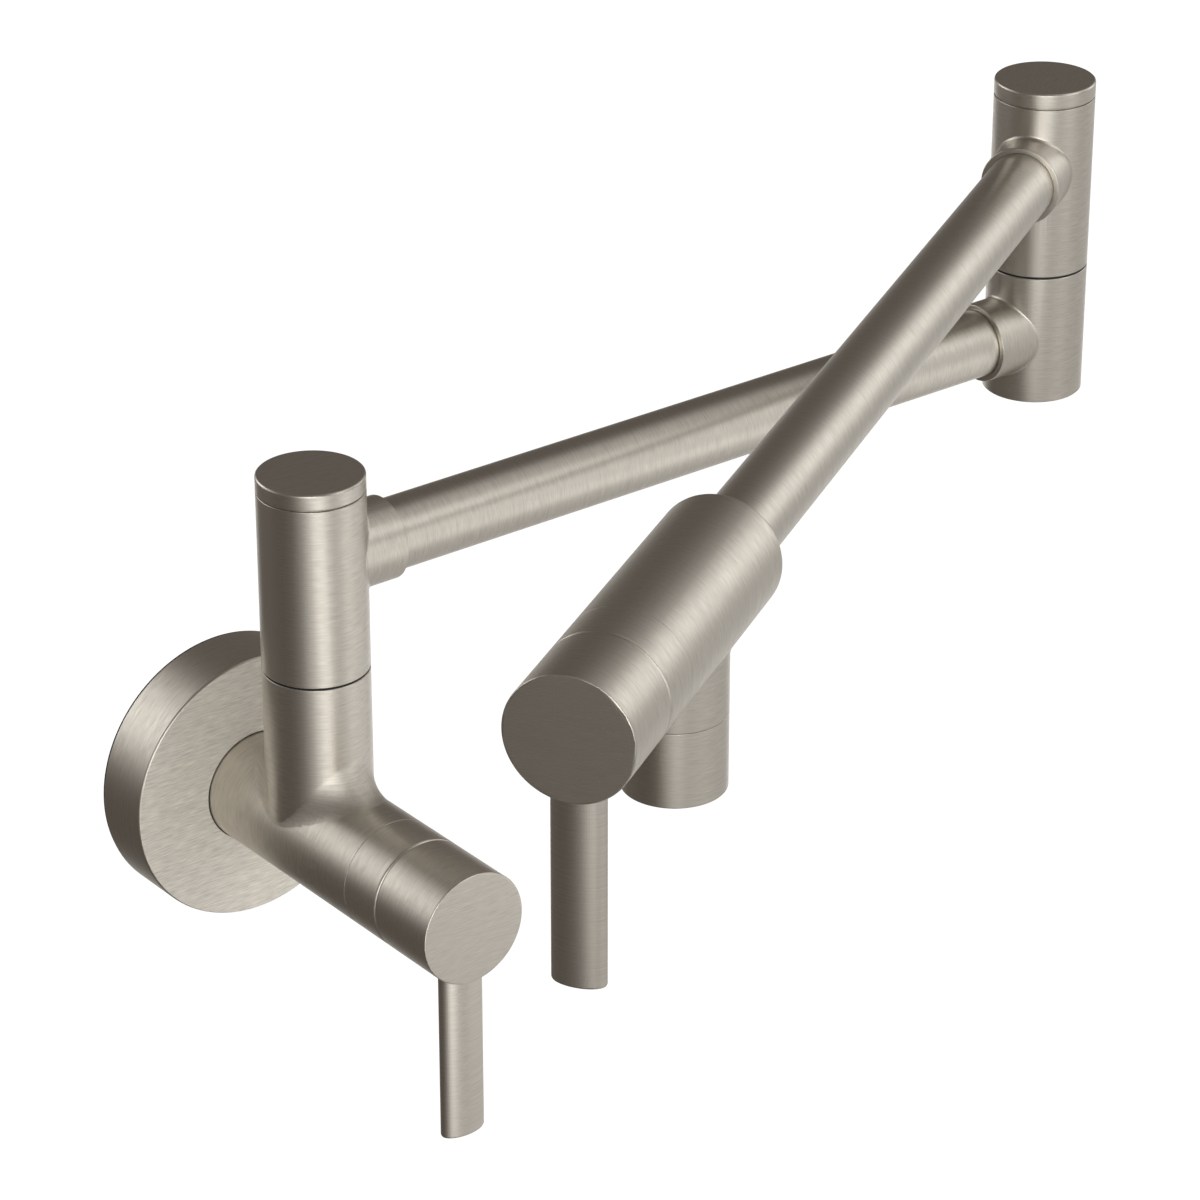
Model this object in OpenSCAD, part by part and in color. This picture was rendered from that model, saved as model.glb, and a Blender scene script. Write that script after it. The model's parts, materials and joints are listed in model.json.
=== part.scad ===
// Wall-mounted pot filler: two swivelling arms, a shut-off valve at the wall and another at the spout.
// Millimetres. The origin is the centre of the flange on the wall plane, +X runs along the wall,
// -Y points into the room and +Z is up.

/* [Layout] */
// Wall plane to the axis of the base column
wall_offset = 48.5; // [46:0.5:60]
// Base column axis to elbow axis
inner_reach = 257; // [200:1:280]
// Elbow axis to spout axis
outer_reach = 311; // [290:1:400]
// Angle of the outer arm from the inner arm's direction as the part is shown, in degrees
outer_arm_angle = -148.8; // [-170:0.2:-60]

/* [Columns] */
// Outer diameter of the swivel columns and their caps
column_d = 29; // [28.5:0.5:31]
// Barrel axis up to the base swivel seam
base_column_h = 48.9; // [46:0.1:60]
// Swivel seam up to the cap seam of each head
head_h = 51.2; // [42.5:0.1:60]
// Cap seam to the top of the cap
cap_h = 4.8; // [3:0.1:8]
// Top seam of a head or of the elbow's base down to its arm's axis
arm_drop = 20.2; // [20:0.1:22]
// Inner arm's axis down to the foot of the elbow
elbow_tail = 18.8; // [16:0.1:26]
// Height of the dark seam at each swivel
swivel_seam = 0.5; // [0.4:0.1:1.2]
// Height of the hairline seam under each cap
cap_seam = 0.3; // [0.1:0.1:0.6]
// Blend radius between the base column and the barrel
tee_blend_r = 10.5; // [4:0.5:11]

/* [Arm tubes] */
// Outer diameter of the arm tubes
tube_d = 19.6; // [17:0.1:20]
// Wall thickness of the arm tubes
tube_wall = 1.5; // [1:0.1:2.5]
// Outer diameter of the sockets that hold the tubes
boss_d = 23; // [22.5:0.1:24]
// Column axis to the mouth of each socket
boss_reach = 22.8; // [21:0.1:28]
// Depth of the tube in each column socket
socket_depth = 8.5; // [5:0.1:9]

/* [Valve barrels] */
// Outer diameter of the barrels, trim rings and handle hubs
barrel_d = 31.6; // [31.2:0.2:36]
// Column or spout axis to the front face of the valve body
body_front = 33; // [32:0.1:38]
// Front face of the valve body to the handle's seam
trim_len = 13.7; // [12:0.1:18]
// Handle seam to the flat end of the hub
hub_len = 22; // [20:0.1:30]
// Spout axis back to the rear end of the spout body
spout_tail = 31.8; // [29:0.1:40]
// Depth of the outer tube in the spout body
spout_socket_depth = 12; // [6:0.5:14]

/* [Levers] */
// Width of the oval lever across the hub axis
lever_w = 13.4; // [10:0.2:16]
// Thickness of the oval lever along the hub axis
lever_t = 7; // [6.6:0.2:9]
// Hub axis down to the lever's tip
lever_drop = 64.6; // [45:0.2:90]
// Hub's flat end back to the lever's centre line
lever_setback = 6.4; // [5:0.1:7]

/* [Spout] */
// Outer diameter of the spout neck and its outlet collar
nozzle_d = 25.5; // [25:0.1:28]
// Spout barrel's axis down to the collar's seam
neck_drop = 26; // [22:0.1:34]
// Height of the outlet collar
collar_h = 19.6; // [17:0.1:28]
// Blend radius between the spout body and its neck
neck_blend_r = 3.5; // [2:0.5:5]

/* [Wall flange] */
// Outer diameter of the flange
flange_d = 77; // [75:1:100]
// Wall plane to the flange's front face
flange_depth = 18.1; // [17.5:0.1:24]
// Thickness of the flange's side wall
flange_side = 2.5; // [1.5:0.1:2.9]
// Thickness of the flange's front wall
flange_front = 3; // [2:0.1:4]
// Circle of the bracket's screw holes
screw_circle_d = 54; // [53:0.5:58]
// Diameter of the bracket's screw holes
screw_hole_d = 5; // [4:0.1:6]

/* [Water ways and threads] */
// Bore of the half-inch inlet thread
inlet_bore_d = 18.8; // [18:0.1:20]
// Depth of the inlet thread
inlet_depth = 16; // [12:0.5:20]
// Bore of the water ways
waterway_d = 12; // [9:0.5:12.5]
// Bore of the valve core's pocket
pocket_d = 22; // [21.8:0.1:22.6]
// Bore for the core nut's thread
nut_bore_d = 26; // [25.6:0.1:26.8]
// Bore of each head round its post
head_bore_d = 22; // [21.6:0.1:22.6]

/* [Hidden] */
$fn = 72;

nickel = [0.69, 0.66, 0.61];
brass = [0.78, 0.63, 0.34];
steel = [0.62, 0.63, 0.65];
ceramic = [0.93, 0.92, 0.88];
black_rubber = [0.08, 0.08, 0.08];
acetal = [0.93, 0.93, 0.91];

// Fits, in radius: threads and sockets that stay put, turning joints, and rings in their grooves
fit_gap = 0.05;
running_gap = 0.08;
ring_gap = 0.05;
// Overrun of every cut past the face that it opens
cut = 1;

// Edge breaks
seam_break = 0.25;
hairline_break = 0.12;
rim_break = 0.6;
foot_break = 0.4;
handle_break = 0.35;
lever_tip_break = 0.7;
lever_tip_share = 0.3;
tail_round_r = 2;
mouth_step = 0.3;

// Blends between a post and a barrel: the ball is set into both by a bite, so that the blend's faces cross
// theirs at an angle
blend_bite_share = 0.006;
blend_depth = 1.2;
blend_turns = 56;
tee_blend_steps = 7;
boss_blend_steps = 3;
boss_blend_r = 1;

// Heights of the barrels, arms and seams above the origin
column_r = column_d/2;
barrel_r = barrel_d/2;
half_seam = swivel_seam/2;
head_arm_h = head_h - arm_drop;
inner_arm_z = base_column_h + head_arm_h;
elbow_seam_z = inner_arm_z + arm_drop;
outer_arm_z = elbow_seam_z + head_arm_h;

// Cap: a plug with an O-ring, and a seat that leaves the hairline under the rim
cap_pocket_step = 0.75;
cap_pocket_d = head_bore_d + 2*cap_pocket_step;
cap_plug_d = cap_pocket_d - 2*fit_gap;
cap_plug_h = 2;
cap_seat_inset = 0.7;
cap_seat_d = column_d - 2*cap_seat_inset;
cap_ring = 0.6;

// Post and head, measured up from the swivel seam: the nut and washer under the cap hold the head's ledge
post_end_h = 0.3;
cap_clearance = 0.25;
post_nut_h = 3;
post_nut_flats = 17;
post_thread_d = 12;
thrust_washer_h = 0.8;
thrust_washer_d = 20;
post_end = head_h - cap_plug_h - cap_clearance;
ledge_high = post_end - post_end_h - post_nut_h - thrust_washer_h - 3*ring_gap;
head_ledge = 5.5;
ledge_low = ledge_high - head_ledge;
neck_hole_d = 14;
neck_d = neck_hole_d - 2*running_gap;
neck_ring = 0.7;
neck_ring_at = (ledge_low + ledge_high)/2;

// Post below its neck: bearing surface, O-rings, waist with cross ports, collar and threaded shank
post_r = head_bore_d/2 - running_gap;
post_bore_d = 11;
post_top_collar = 1.2;
post_roof = 1.2;
waist_step = 2.5;
waist_d = head_bore_d - 2*waist_step;
waist_half_h = 7;
waist_top = ledge_low - post_top_collar;
waist_low = head_arm_h - waist_half_h;
post_port_d = 9;
big_ring = 0.9;
low_ring_share = 0.46;
high_ring_share = 0.69;
ring_low = low_ring_share*waist_low;
ring_high = high_ring_share*waist_low;
bearing_low_share = 0.08;
bearing_high_share = 0.29;
bearing_low = bearing_low_share*waist_low;
bearing_high = bearing_high_share*waist_low;
bearing_wall = 1.6;
post_collar_depth = 2.7;
shank_step = 2;
shank_d = head_bore_d - 2*shank_step;
shank_depth = 13;
washer_inset = 0.3;
washer_slack = 0.1;

// Arm sockets, with the distance from a column's axis to the end of the tube in its socket
socket_way_d = 14;
elbow_well = 10;
tube_start = boss_reach - socket_depth + fit_gap;

// Valve core, measured along its barrel from the column's or spout's axis: seal, discs, stem and sleeve
seat_at = -6;
seal_h = 2.6;
disc_h = 3;
disc_gap = 0.02;
disc_d = 15.6;
disc_slack = 0.2;
seal_bore_d = 11.6;
port_d = 4.4;
port_at = 4.6;
fixed_disc_at = seat_at + seal_h;
moving_disc_at = fixed_disc_at + disc_h + disc_gap;
stem_foot_at = moving_disc_at + disc_h + disc_gap;
stem_foot_h = 3.4;
cavity_end = stem_foot_at + stem_foot_h + 2*disc_gap;
cavity_d = disc_d + 2*disc_slack;
core_slack = 0.1;
core_d = pocket_d - 2*core_slack;
window_w = 9;
window_margin = 0.4;
waist_margin = 1;
core_waist_step = 1.6;
shoulder_at = 15;
core_flange_h = 3;
core_flange_slack = 0.3;
core_neck_d = 15;
core_neck_out = 7;
core_ring = 0.8;
core_ring_at = 11;
stem_gap = 0.05;
stem_bore_d = 10;
stem_d = stem_bore_d - 2*stem_gap;
stem_ring = 0.7;
stem_ring_back = 6;
spline_d = 8;
spline_out = 5;
stem_in_hub = 11.2;

// Core nut and trim ring
core_nut_slack = 0.15;
core_nut_spigot_step = 1;
core_nut_spigot_d = nut_bore_d - 2*core_nut_spigot_step;
core_nut_spigot = 9;
core_nut_flats = 18;
core_nut_socket = 4;
trim_gap = 0.06;
trim_bore_d = 16;

// Handle
handle_gap = 0.16;
hub_start = body_front + trim_len;
hub_back = hub_start + handle_gap/2;
hub_end = hub_start + hub_len;
stem_end = hub_start + stem_in_hub;
lever_at = hub_end - lever_setback;
hub_recess_d = 20;
hub_recess_depth = 3;
hub_screw_d = 4;
hub_screw_len = 6;
hub_screw_in = 8;
key_flats = 2;
lever_stud_d = 6;
lever_stud_top = 8.5;
lever_sides = 64;

// Outlet: a spigot below the neck, the collar screwed on it, and the aerator held on the collar's lip
collar_wall = 1.75;
spigot_wall = 2.75;
spigot_d = nozzle_d - 2*spigot_wall;
spigot_h = 6;
collar_seam = 0.06;
collar_bore_d = nozzle_d - 2*collar_wall;
collar_lip = 1.3;
collar_lip_h = 1;
aerator_slack = 0.2;
aerator_d = collar_bore_d - 2*aerator_slack;
aerator_wall = 1.5;
aerator_rim_h = 1.4;
aerator_floor_h = 2.4;
aerator_hole_d = 2.2;
aerator_pitch = 3;
aerator_rings = 2;
first_ring_holes = 6;
aerator_washer_h = 2;
aerator_washer_w = 3.8;
aerator_washer_top = -neck_drop - collar_seam - spigot_h - ring_gap;

// Wall mounting
bracket_t = 3;
bracket_margin = 1;
bracket_hub_wall = 4.2;
bracket_hub_d = barrel_d + 2*bracket_hub_wall;
bracket_gap = 1;
bracket_screws = 3;
flange_sleeve = 4;
bracket_hub_len = flange_depth - flange_front - flange_sleeve - bracket_gap;
tail_gap = 1;
grub_d = 5;
grub_inset = 0.3;
gasket_t = 0.8;
gasket_margin = 0.3;
flange_ring = 0.8;
flange_ring_in = 4.2;
flange_slip_gap = 0.25;

// Placement frames. Each barrel frame has +X towards its handle.
module at_base() {
    translate([0, -wall_offset, 0]) rotate([0, 0, -90]) children();
}
module at_base_column() {
    translate([0, -wall_offset, base_column_h]) children();
}
module at_elbow() {
    translate([inner_reach, -wall_offset, elbow_seam_z]) children();
}
module along_outer_arm() {
    rotate([0, 0, outer_arm_angle]) children();
}
module at_spout() {
    translate([inner_reach, -wall_offset, outer_arm_z]) along_outer_arm()
        translate([outer_reach, 0, 0]) children();
}
// On the wall plane, with +Z of the children pointing into the room
module on_wall() {
    rotate([90, 0, 0]) children();
}

// Turned shapes. A rod's profile is [radius, height] pairs from its lower to its upper end.
module rod(d, from, to) {
    translate([0, 0, from]) cylinder(d = d, h = to - from);
}
module broken_rod(d, from, to, low_break, high_break) {
    r = d/2;
    rotate_extrude() polygon([
        [0, from], [r - low_break, from], [r, from + low_break],
        [r, to - high_break], [r - high_break, to], [0, to],
    ]);
}
module tube_between(outer_d, inner_d, from, to) {
    rotate_extrude() translate([inner_d/2, from]) square([(outer_d - inner_d)/2, to - from]);
}
module o_ring(floor_r, section_r, at) {
    rotate_extrude() translate([floor_r + section_r + ring_gap, at]) circle(section_r, $fn = 24);
}
// Ring-shaped groove cut that leaves a floor for an O-ring between it and a bore
module ring_groove(floor_r, rod_r, section_r, at) {
    half_w = section_r + 2*ring_gap;
    tube_between(2*(rod_r + cut), 2*floor_r, at - half_w, at + half_w);
}
function groove_floor(bore_r, section_r) = bore_r - 2*section_r - 2*ring_gap;
module hex_prism(flats, from, to) {
    translate([0, 0, from]) cylinder(d = flats/cos(30), h = to - from, $fn = 6);
}
module along_x() {
    rotate([0, 90, 0]) children();
}

// Rolling-ball blend between an upright post and a pipe that lies along X
function unit(v) = v/norm(v);
function ball_centre(post, pipe, ball, t) =
    let (px = (post + ball)*cos(t), py = (post + ball)*sin(t))
    [px, py, sqrt(pow(pipe + ball, 2) - py*py)];
function arc_between(a, b, u) =
    let (w = acos(a*b)) (sin((1 - u)*w)*a + sin(u*w)*b)/sin(w);
function blend_section(post, pipe, ball, steps, t) =
    let (
        bite = blend_bite_share*ball,
        c = ball_centre(post - bite, pipe - bite, ball, t),
        to_post = [-cos(t), -sin(t), 0],
        to_pipe = -unit([0, c.y, c.z]),
        inner = post - blend_depth,
        inner_y = inner*sin(t)
    )
    concat(
        [for (i = [0:steps]) c + ball*arc_between(to_post, to_pipe, i/steps)],
        [[inner*cos(t), inner_y, sqrt(pow(pipe - blend_depth, 2) - inner_y*inner_y)]]
    );
module saddle_blend(post, pipe, ball, steps) {
    n = steps + 2;
    points = [
        for (k = [0:blend_turns - 1]) each blend_section(post, pipe, ball, steps, 360*k/blend_turns)
    ];
    faces = [
        for (k = [0:blend_turns - 1], i = [0:n - 1])
            let (
                j = (i + 1) % n,
                k2 = (k + 1) % blend_turns,
                a = k*n + i, b = k*n + j, c = k2*n + j, d = k2*n + i
            )
            each [[a, c, b], [a, d, c]]
    ];
    polyhedron(points, faces);
}

// Wall mounting
module wall_bracket() {
    plate_r = flange_d/2 - flange_side - bracket_margin;
    color(steel) on_wall() difference() {
        union() {
            rod(2*plate_r, 0, bracket_t);
            broken_rod(bracket_hub_d, 0, bracket_hub_len, 0, seam_break);
        }
        rod(barrel_d + 2*fit_gap, -cut, bracket_hub_len + cut);
        for (k = [0:bracket_screws - 1])
            rotate([0, 0, 90 + 360*k/bracket_screws]) translate([screw_circle_d/2, 0, 0])
                rod(screw_hole_d, -cut, bracket_t + cut);
        at_grub_screw() rod(grub_d + 2*fit_gap, 0, bracket_hub_d);
    }
}
// Halfway along the hub in front of the plate, with +Z pointing down out of the barrel
module at_grub_screw() {
    translate([0, 0, (bracket_t + bracket_hub_len)/2]) rotate([90, 0, 0]) children();
}
module bracket_grub_screw() {
    tip = barrel_r + fit_gap;
    head = bracket_hub_d/2 - grub_inset;
    color(steel) on_wall() at_grub_screw() difference() {
        broken_rod(grub_d, tip, head, seam_break, seam_break);
        hex_prism(key_flats, (tip + head)/2, head + cut);
    }
}
module wall_flange() {
    r = flange_d/2;
    inner_r = r - flange_side;
    inner_face = flange_depth - flange_front;
    sleeve_end = inner_face - flange_sleeve;
    bore_r = barrel_r + flange_slip_gap;
    ring_floor = barrel_r + fit_gap + 2*flange_ring + 2*ring_gap;
    ring_at = flange_depth - flange_ring_in;
    color(nickel) on_wall() difference() {
        rotate_extrude() polygon([
            [bore_r, flange_depth], [bore_r, sleeve_end], [bracket_hub_d/2, sleeve_end],
            [bracket_hub_d/2, inner_face], [inner_r, inner_face], [inner_r, gasket_t],
            [r, gasket_t], [r, flange_depth - rim_break], [r - rim_break, flange_depth],
        ]);
        tube_between(2*ring_floor, 2*(bore_r - cut), ring_at - flange_ring - 2*ring_gap,
            ring_at + flange_ring + 2*ring_gap);
    }
}
module flange_gasket() {
    color(black_rubber) on_wall()
        tube_between(flange_d - 2*gasket_margin, flange_d - 2*flange_side + 2*gasket_margin, 0, gasket_t);
}
module flange_o_ring() {
    color(black_rubber) on_wall() o_ring(barrel_r, flange_ring, flange_depth - flange_ring_in);
}

// Space for the valve core, cut into the front of a barrel along X
module core_pocket() {
    along_x() {
        rod(pocket_d, seat_at, shoulder_at + cut);
        rod(nut_bore_d, shoulder_at, body_front + cut);
    }
}
// Well for the post in the top of a lower column, with z = 0 at the seam
module post_well() {
    rod(shank_d + 2*fit_gap, -shank_depth - cut, 0);
    rod(2*post_r + 2*fit_gap, -half_seam - post_collar_depth, cut);
}
module base_valve_body() {
    tail = -wall_offset + tail_gap;
    color(nickel) at_base() difference() {
        union() {
            along_x() broken_rod(barrel_d, tail, body_front, rim_break, hairline_break);
            broken_rod(column_d, 0, base_column_h - half_seam, 0, seam_break);
            saddle_blend(column_r, barrel_r, tee_blend_r, tee_blend_steps);
        }
        core_pocket();
        along_x() {
            rod(inlet_bore_d, tail - cut, tail + inlet_depth);
            rod(waterway_d, tail, seat_at + cut);
        }
        rod(waterway_d, 0, base_column_h);
        translate([0, 0, base_column_h]) post_well();
    }
}

// Valve core, the same at the base and at the spout
module seat_seal() {
    color(black_rubber) along_x() tube_between(disc_d, seal_bore_d, seat_at, seat_at + seal_h);
}
module fixed_disc() {
    color(ceramic) along_x() difference() {
        rod(disc_d, fixed_disc_at, fixed_disc_at + disc_h);
        for (side = [-1, 1])
            translate([0, side*port_at, 0]) rod(port_d, fixed_disc_at - cut, fixed_disc_at + disc_h + cut);
    }
}
// Two slots that open at the rim, a quarter turn away from the fixed disc's ports while the valve is shut
module side_slots(from, to) {
    for (turn = [0, 180])
        rotate([0, 0, turn]) translate([port_at - port_d/2, -port_d/2, from])
            cube([disc_d, port_d, to - from]);
}
module moving_disc() {
    color(ceramic) along_x() difference() {
        rod(disc_d, moving_disc_at, moving_disc_at + disc_h);
        side_slots(moving_disc_at - cut, moving_disc_at + disc_h + cut);
    }
}
module core_housing() {
    window_low = moving_disc_at + window_margin;
    window_high = stem_foot_at + stem_foot_h - window_margin;
    color(brass) difference() {
        along_x() difference() {
            union() {
                rod(core_d, seat_at + fit_gap, shoulder_at + cut);
                rod(nut_bore_d - 2*core_flange_slack, shoulder_at, shoulder_at + core_flange_h);
                rod(core_neck_d, shoulder_at, body_front + core_neck_out);
            }
            rod(cavity_d, seat_at - cut, cavity_end);
            rod(stem_bore_d, cavity_end - cut, body_front + core_neck_out + cut);
            tube_between(pocket_d + 2*cut, core_d - 2*core_waist_step,
                window_low - waist_margin, window_high + waist_margin);
            ring_groove(groove_floor(pocket_d/2, core_ring), core_d/2, core_ring, core_ring_at);
        }
        for (turn = [0, 90])
            rotate([turn, 0, 0]) translate([window_low, -window_w/2, -pocket_d])
                cube([window_high - window_low, window_w, 2*pocket_d]);
    }
}
module core_o_ring() {
    color(black_rubber) along_x() o_ring(groove_floor(pocket_d/2, core_ring), core_ring, core_ring_at);
}
module core_nut() {
    back = shoulder_at + core_flange_h + fit_gap;
    spigot_end = body_front + core_nut_spigot;
    color(brass) along_x() difference() {
        union() {
            rod(nut_bore_d - 2*fit_gap, back, body_front - trim_gap);
            rod(core_nut_spigot_d, back, spigot_end);
        }
        rod(core_neck_d + 2*core_nut_slack, back - cut, spigot_end + cut);
        hex_prism(core_nut_flats, spigot_end - core_nut_socket, spigot_end + cut);
    }
}
module trim_ring() {
    web = body_front + core_nut_spigot + fit_gap;
    front = hub_start - handle_gap/2;
    color(nickel) along_x() difference() {
        broken_rod(barrel_d, body_front + trim_gap, front, hairline_break, hairline_break);
        rod(core_nut_spigot_d + 2*fit_gap, body_front - cut, web);
        rod(trim_bore_d, web - cut, front + cut);
    }
}
module stem() {
    color(brass) along_x() difference() {
        union() {
            rod(disc_d, stem_foot_at, stem_foot_at + stem_foot_h);
            rod(stem_d, stem_foot_at, body_front + spline_out);
            rod(spline_d, body_front, stem_end);
        }
        side_slots(stem_foot_at - cut, stem_foot_at + stem_foot_h);
        ring_groove(groove_floor(stem_bore_d/2, stem_ring), stem_d/2, stem_ring, body_front - stem_ring_back);
    }
}
module stem_o_ring() {
    color(black_rubber) along_x()
        o_ring(groove_floor(stem_bore_d/2, stem_ring), stem_ring, body_front - stem_ring_back);
}

// Handle: a solid hub on the stem's splines, with an oval lever screwed into its underside
module hub() {
    color(nickel) difference() {
        along_x() difference() {
            broken_rod(barrel_d, hub_back, hub_end, handle_break, seam_break);
            rod(hub_recess_d, hub_back - cut, hub_back + hub_recess_depth);
            rod(spline_d + 2*fit_gap, hub_back, stem_end + fit_gap);
        }
        translate([lever_at, 0, 0]) rod(lever_stud_d + 2*fit_gap, -barrel_d, -lever_stud_top + fit_gap);
        translate([hub_start + hub_screw_in, 0, 0]) rod(hub_screw_d + 2*fit_gap, -barrel_d, 0);
    }
}
module hub_screw() {
    tip = -spline_d/2 - fit_gap;
    color(steel) translate([hub_start + hub_screw_in, 0, 0]) difference() {
        broken_rod(hub_screw_d, tip - hub_screw_len, tip, seam_break, seam_break);
        hex_prism(key_flats, tip - hub_screw_len - cut, tip - hub_screw_len/2);
    }
}
module lever_section(inset) {
    a = lever_t/2 - inset;
    b = lever_w/2 - inset;
    polygon([for (k = [0:lever_sides - 1]) let (t = 360*k/lever_sides) [a*cos(t), b*sin(t)]]);
}
module lever_slice(z, h, inset) {
    translate([0, 0, z]) linear_extrude(h) lever_section(inset);
}
// The tip is rounded by three slices, and the top is cut to sit round the hub
module lever() {
    tip = -lever_drop;
    slice = lever_tip_break/2;
    middle = lever_tip_share*lever_tip_break;
    color(nickel) translate([lever_at, 0, 0]) {
        difference() {
            union() {
                lever_slice(tip + lever_tip_break, lever_drop - lever_tip_break - lever_stud_top, 0);
                hull() {
                    lever_slice(tip, slice, lever_tip_break);
                    lever_slice(tip + middle, slice, middle);
                    lever_slice(tip + lever_tip_break, slice, 0);
                }
            }
            translate([-lever_w, 0, 0]) along_x() rod(barrel_d + 2*fit_gap, 0, 2*lever_w);
        }
        rod(lever_stud_d, -barrel_r - cut, -lever_stud_top);
    }
}

// Swivel: a hollow post screwed into the lower column, with the head turning on it. z = 0 at the seam.
module post() {
    bore_r = head_bore_d/2;
    color(brass) difference() {
        union() {
            rod(shank_d, -shank_depth, 0);
            rod(2*post_r, -half_seam - post_collar_depth, ledge_low - fit_gap);
            rod(neck_d, ledge_low - cut, ledge_high + fit_gap);
            rod(post_thread_d, ledge_high - cut, post_end);
        }
        rod(post_bore_d, -shank_depth - cut, waist_top - post_roof);
        tube_between(head_bore_d + 2*cut, waist_d, waist_low, waist_top);
        tube_between(head_bore_d + 2*cut, 2*(bore_r - bearing_wall - ring_gap), bearing_low, bearing_high);
        for (at = [ring_low, ring_high]) ring_groove(groove_floor(bore_r, big_ring), post_r, big_ring, at);
        ring_groove(groove_floor(neck_hole_d/2, neck_ring), neck_d/2, neck_ring, neck_ring_at);
        for (turn = [0, 90])
            translate([0, 0, head_arm_h]) rotate([0, 0, turn]) along_x()
                rod(post_port_d, -column_d, column_d);
    }
}
module post_o_rings() {
    color(black_rubber) {
        for (at = [ring_low, ring_high]) o_ring(groove_floor(head_bore_d/2, big_ring), big_ring, at);
        o_ring(groove_floor(neck_hole_d/2, neck_ring), neck_ring, neck_ring_at);
    }
}
module bearing_ring() {
    color(acetal) tube_between(head_bore_d - 2*ring_gap, head_bore_d - 2*bearing_wall,
        bearing_low + ring_gap, bearing_high - ring_gap);
}
module swivel_washer() {
    color(black_rubber) tube_between(column_d - 2*washer_inset, head_bore_d + 2*washer_inset,
        -half_seam, half_seam - washer_slack);
}
module thrust_washer() {
    color(acetal) tube_between(thrust_washer_d, post_thread_d + 2*ring_gap,
        ledge_high + ring_gap, ledge_high + ring_gap + thrust_washer_h);
}
module post_nut() {
    low = ledge_high + thrust_washer_h + 2*ring_gap;
    color(brass) difference() {
        hex_prism(post_nut_flats, low, low + post_nut_h);
        rod(post_thread_d + 2*fit_gap, low - cut, low + post_nut_h + cut);
    }
}
// Socket that holds an arm tube, along X from a column's axis and blended into the column
module boss() {
    along_x() {
        broken_rod(boss_d, 0, boss_reach, 0, seam_break);
        saddle_blend(boss_d/2, column_r, boss_blend_r, boss_blend_steps);
    }
}
module boss_way() {
    along_x() {
        rod(socket_way_d, 0, boss_reach);
        rod(tube_d + 2*fit_gap, boss_reach - socket_depth, boss_reach + cut);
        rod(tube_d + 2*mouth_step, boss_reach - mouth_step, boss_reach + cut);
    }
}
module swivel_head() {
    color(nickel) difference() {
        union() {
            broken_rod(column_d, half_seam, head_h, seam_break, seam_break);
            translate([0, 0, head_arm_h]) boss();
        }
        rod(head_bore_d, -cut, ledge_low);
        rod(neck_hole_d, ledge_low - cut, ledge_high + cut);
        rod(cap_pocket_d, ledge_high, head_h + cut);
        translate([0, 0, head_arm_h]) boss_way();
    }
}
module head_cap() {
    ring_at = head_h - cap_plug_h/2;
    color(nickel) difference() {
        union() {
            rod(cap_plug_d, head_h - cap_plug_h, head_h);
            rod(cap_seat_d, head_h, head_h + cap_seam + cut);
            broken_rod(column_d, head_h + cap_seam, head_h + cap_h, seam_break, rim_break);
        }
        ring_groove(groove_floor(cap_pocket_d/2, cap_ring), cap_plug_d/2, cap_ring, ring_at);
    }
}
module cap_o_ring() {
    color(black_rubber) o_ring(groove_floor(cap_pocket_d/2, cap_ring), cap_ring, head_h - cap_plug_h/2);
}
module arm_tube(from, to) {
    color(nickel) along_x() tube_between(tube_d, tube_d - 2*tube_wall, from, to);
}
module inner_tube() {
    translate([0, -wall_offset, inner_arm_z]) arm_tube(tube_start, inner_reach - tube_start);
}
module outer_tube() {
    at_spout() arm_tube(tube_start - outer_reach, spout_socket_depth - fit_gap - spout_tail);
}
module elbow_base() {
    foot = -arm_drop - elbow_tail;
    color(nickel) at_elbow() difference() {
        union() {
            broken_rod(column_d, foot, -half_seam, foot_break, seam_break);
            translate([0, 0, -arm_drop]) rotate([0, 0, 180]) boss();
        }
        post_well();
        rod(waterway_d, -arm_drop - elbow_well, 0);
        translate([0, 0, -arm_drop]) rotate([0, 0, 180]) boss_way();
    }
}

// Spout: valve body with the tube's socket behind, the core in front and the outlet below
module spout_body() {
    r = barrel_r;
    tail = -spout_tail;
    round_r = tail_round_r;
    neck_foot = -neck_drop;
    color(nickel) at_spout() difference() {
        union() {
            along_x() rotate_extrude() {
                polygon([
                    [0, tail], [r - round_r, tail], [r - round_r, tail + round_r], [r, tail + round_r],
                    [r, body_front - hairline_break], [r - hairline_break, body_front], [0, body_front],
                ]);
                translate([r - round_r, tail + round_r]) circle(round_r);
            }
            broken_rod(nozzle_d, neck_foot, 0, hairline_break, 0);
            rod(spigot_d, neck_foot - spigot_h, 0);
            mirror([0, 0, 1]) saddle_blend(nozzle_d/2, barrel_r, neck_blend_r, tee_blend_steps);
        }
        core_pocket();
        along_x() {
            rod(tube_d + 2*fit_gap, tail - cut, tail + spout_socket_depth);
            rod(waterway_d, tail, seat_at + cut);
        }
        rod(waterway_d, neck_foot - spigot_h - cut, 0);
    }
}
module outlet_collar() {
    top = -neck_drop - collar_seam;
    foot = -neck_drop - collar_h;
    color(nickel) at_spout() difference() {
        broken_rod(nozzle_d, foot, top, seam_break, hairline_break);
        rod(spigot_d + 2*fit_gap, top - spigot_h, top + cut);
        rod(collar_bore_d, foot + collar_lip_h, top - spigot_h);
        rod(collar_bore_d - 2*collar_lip, foot - cut, foot + collar_lip_h + cut);
    }
}
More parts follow.
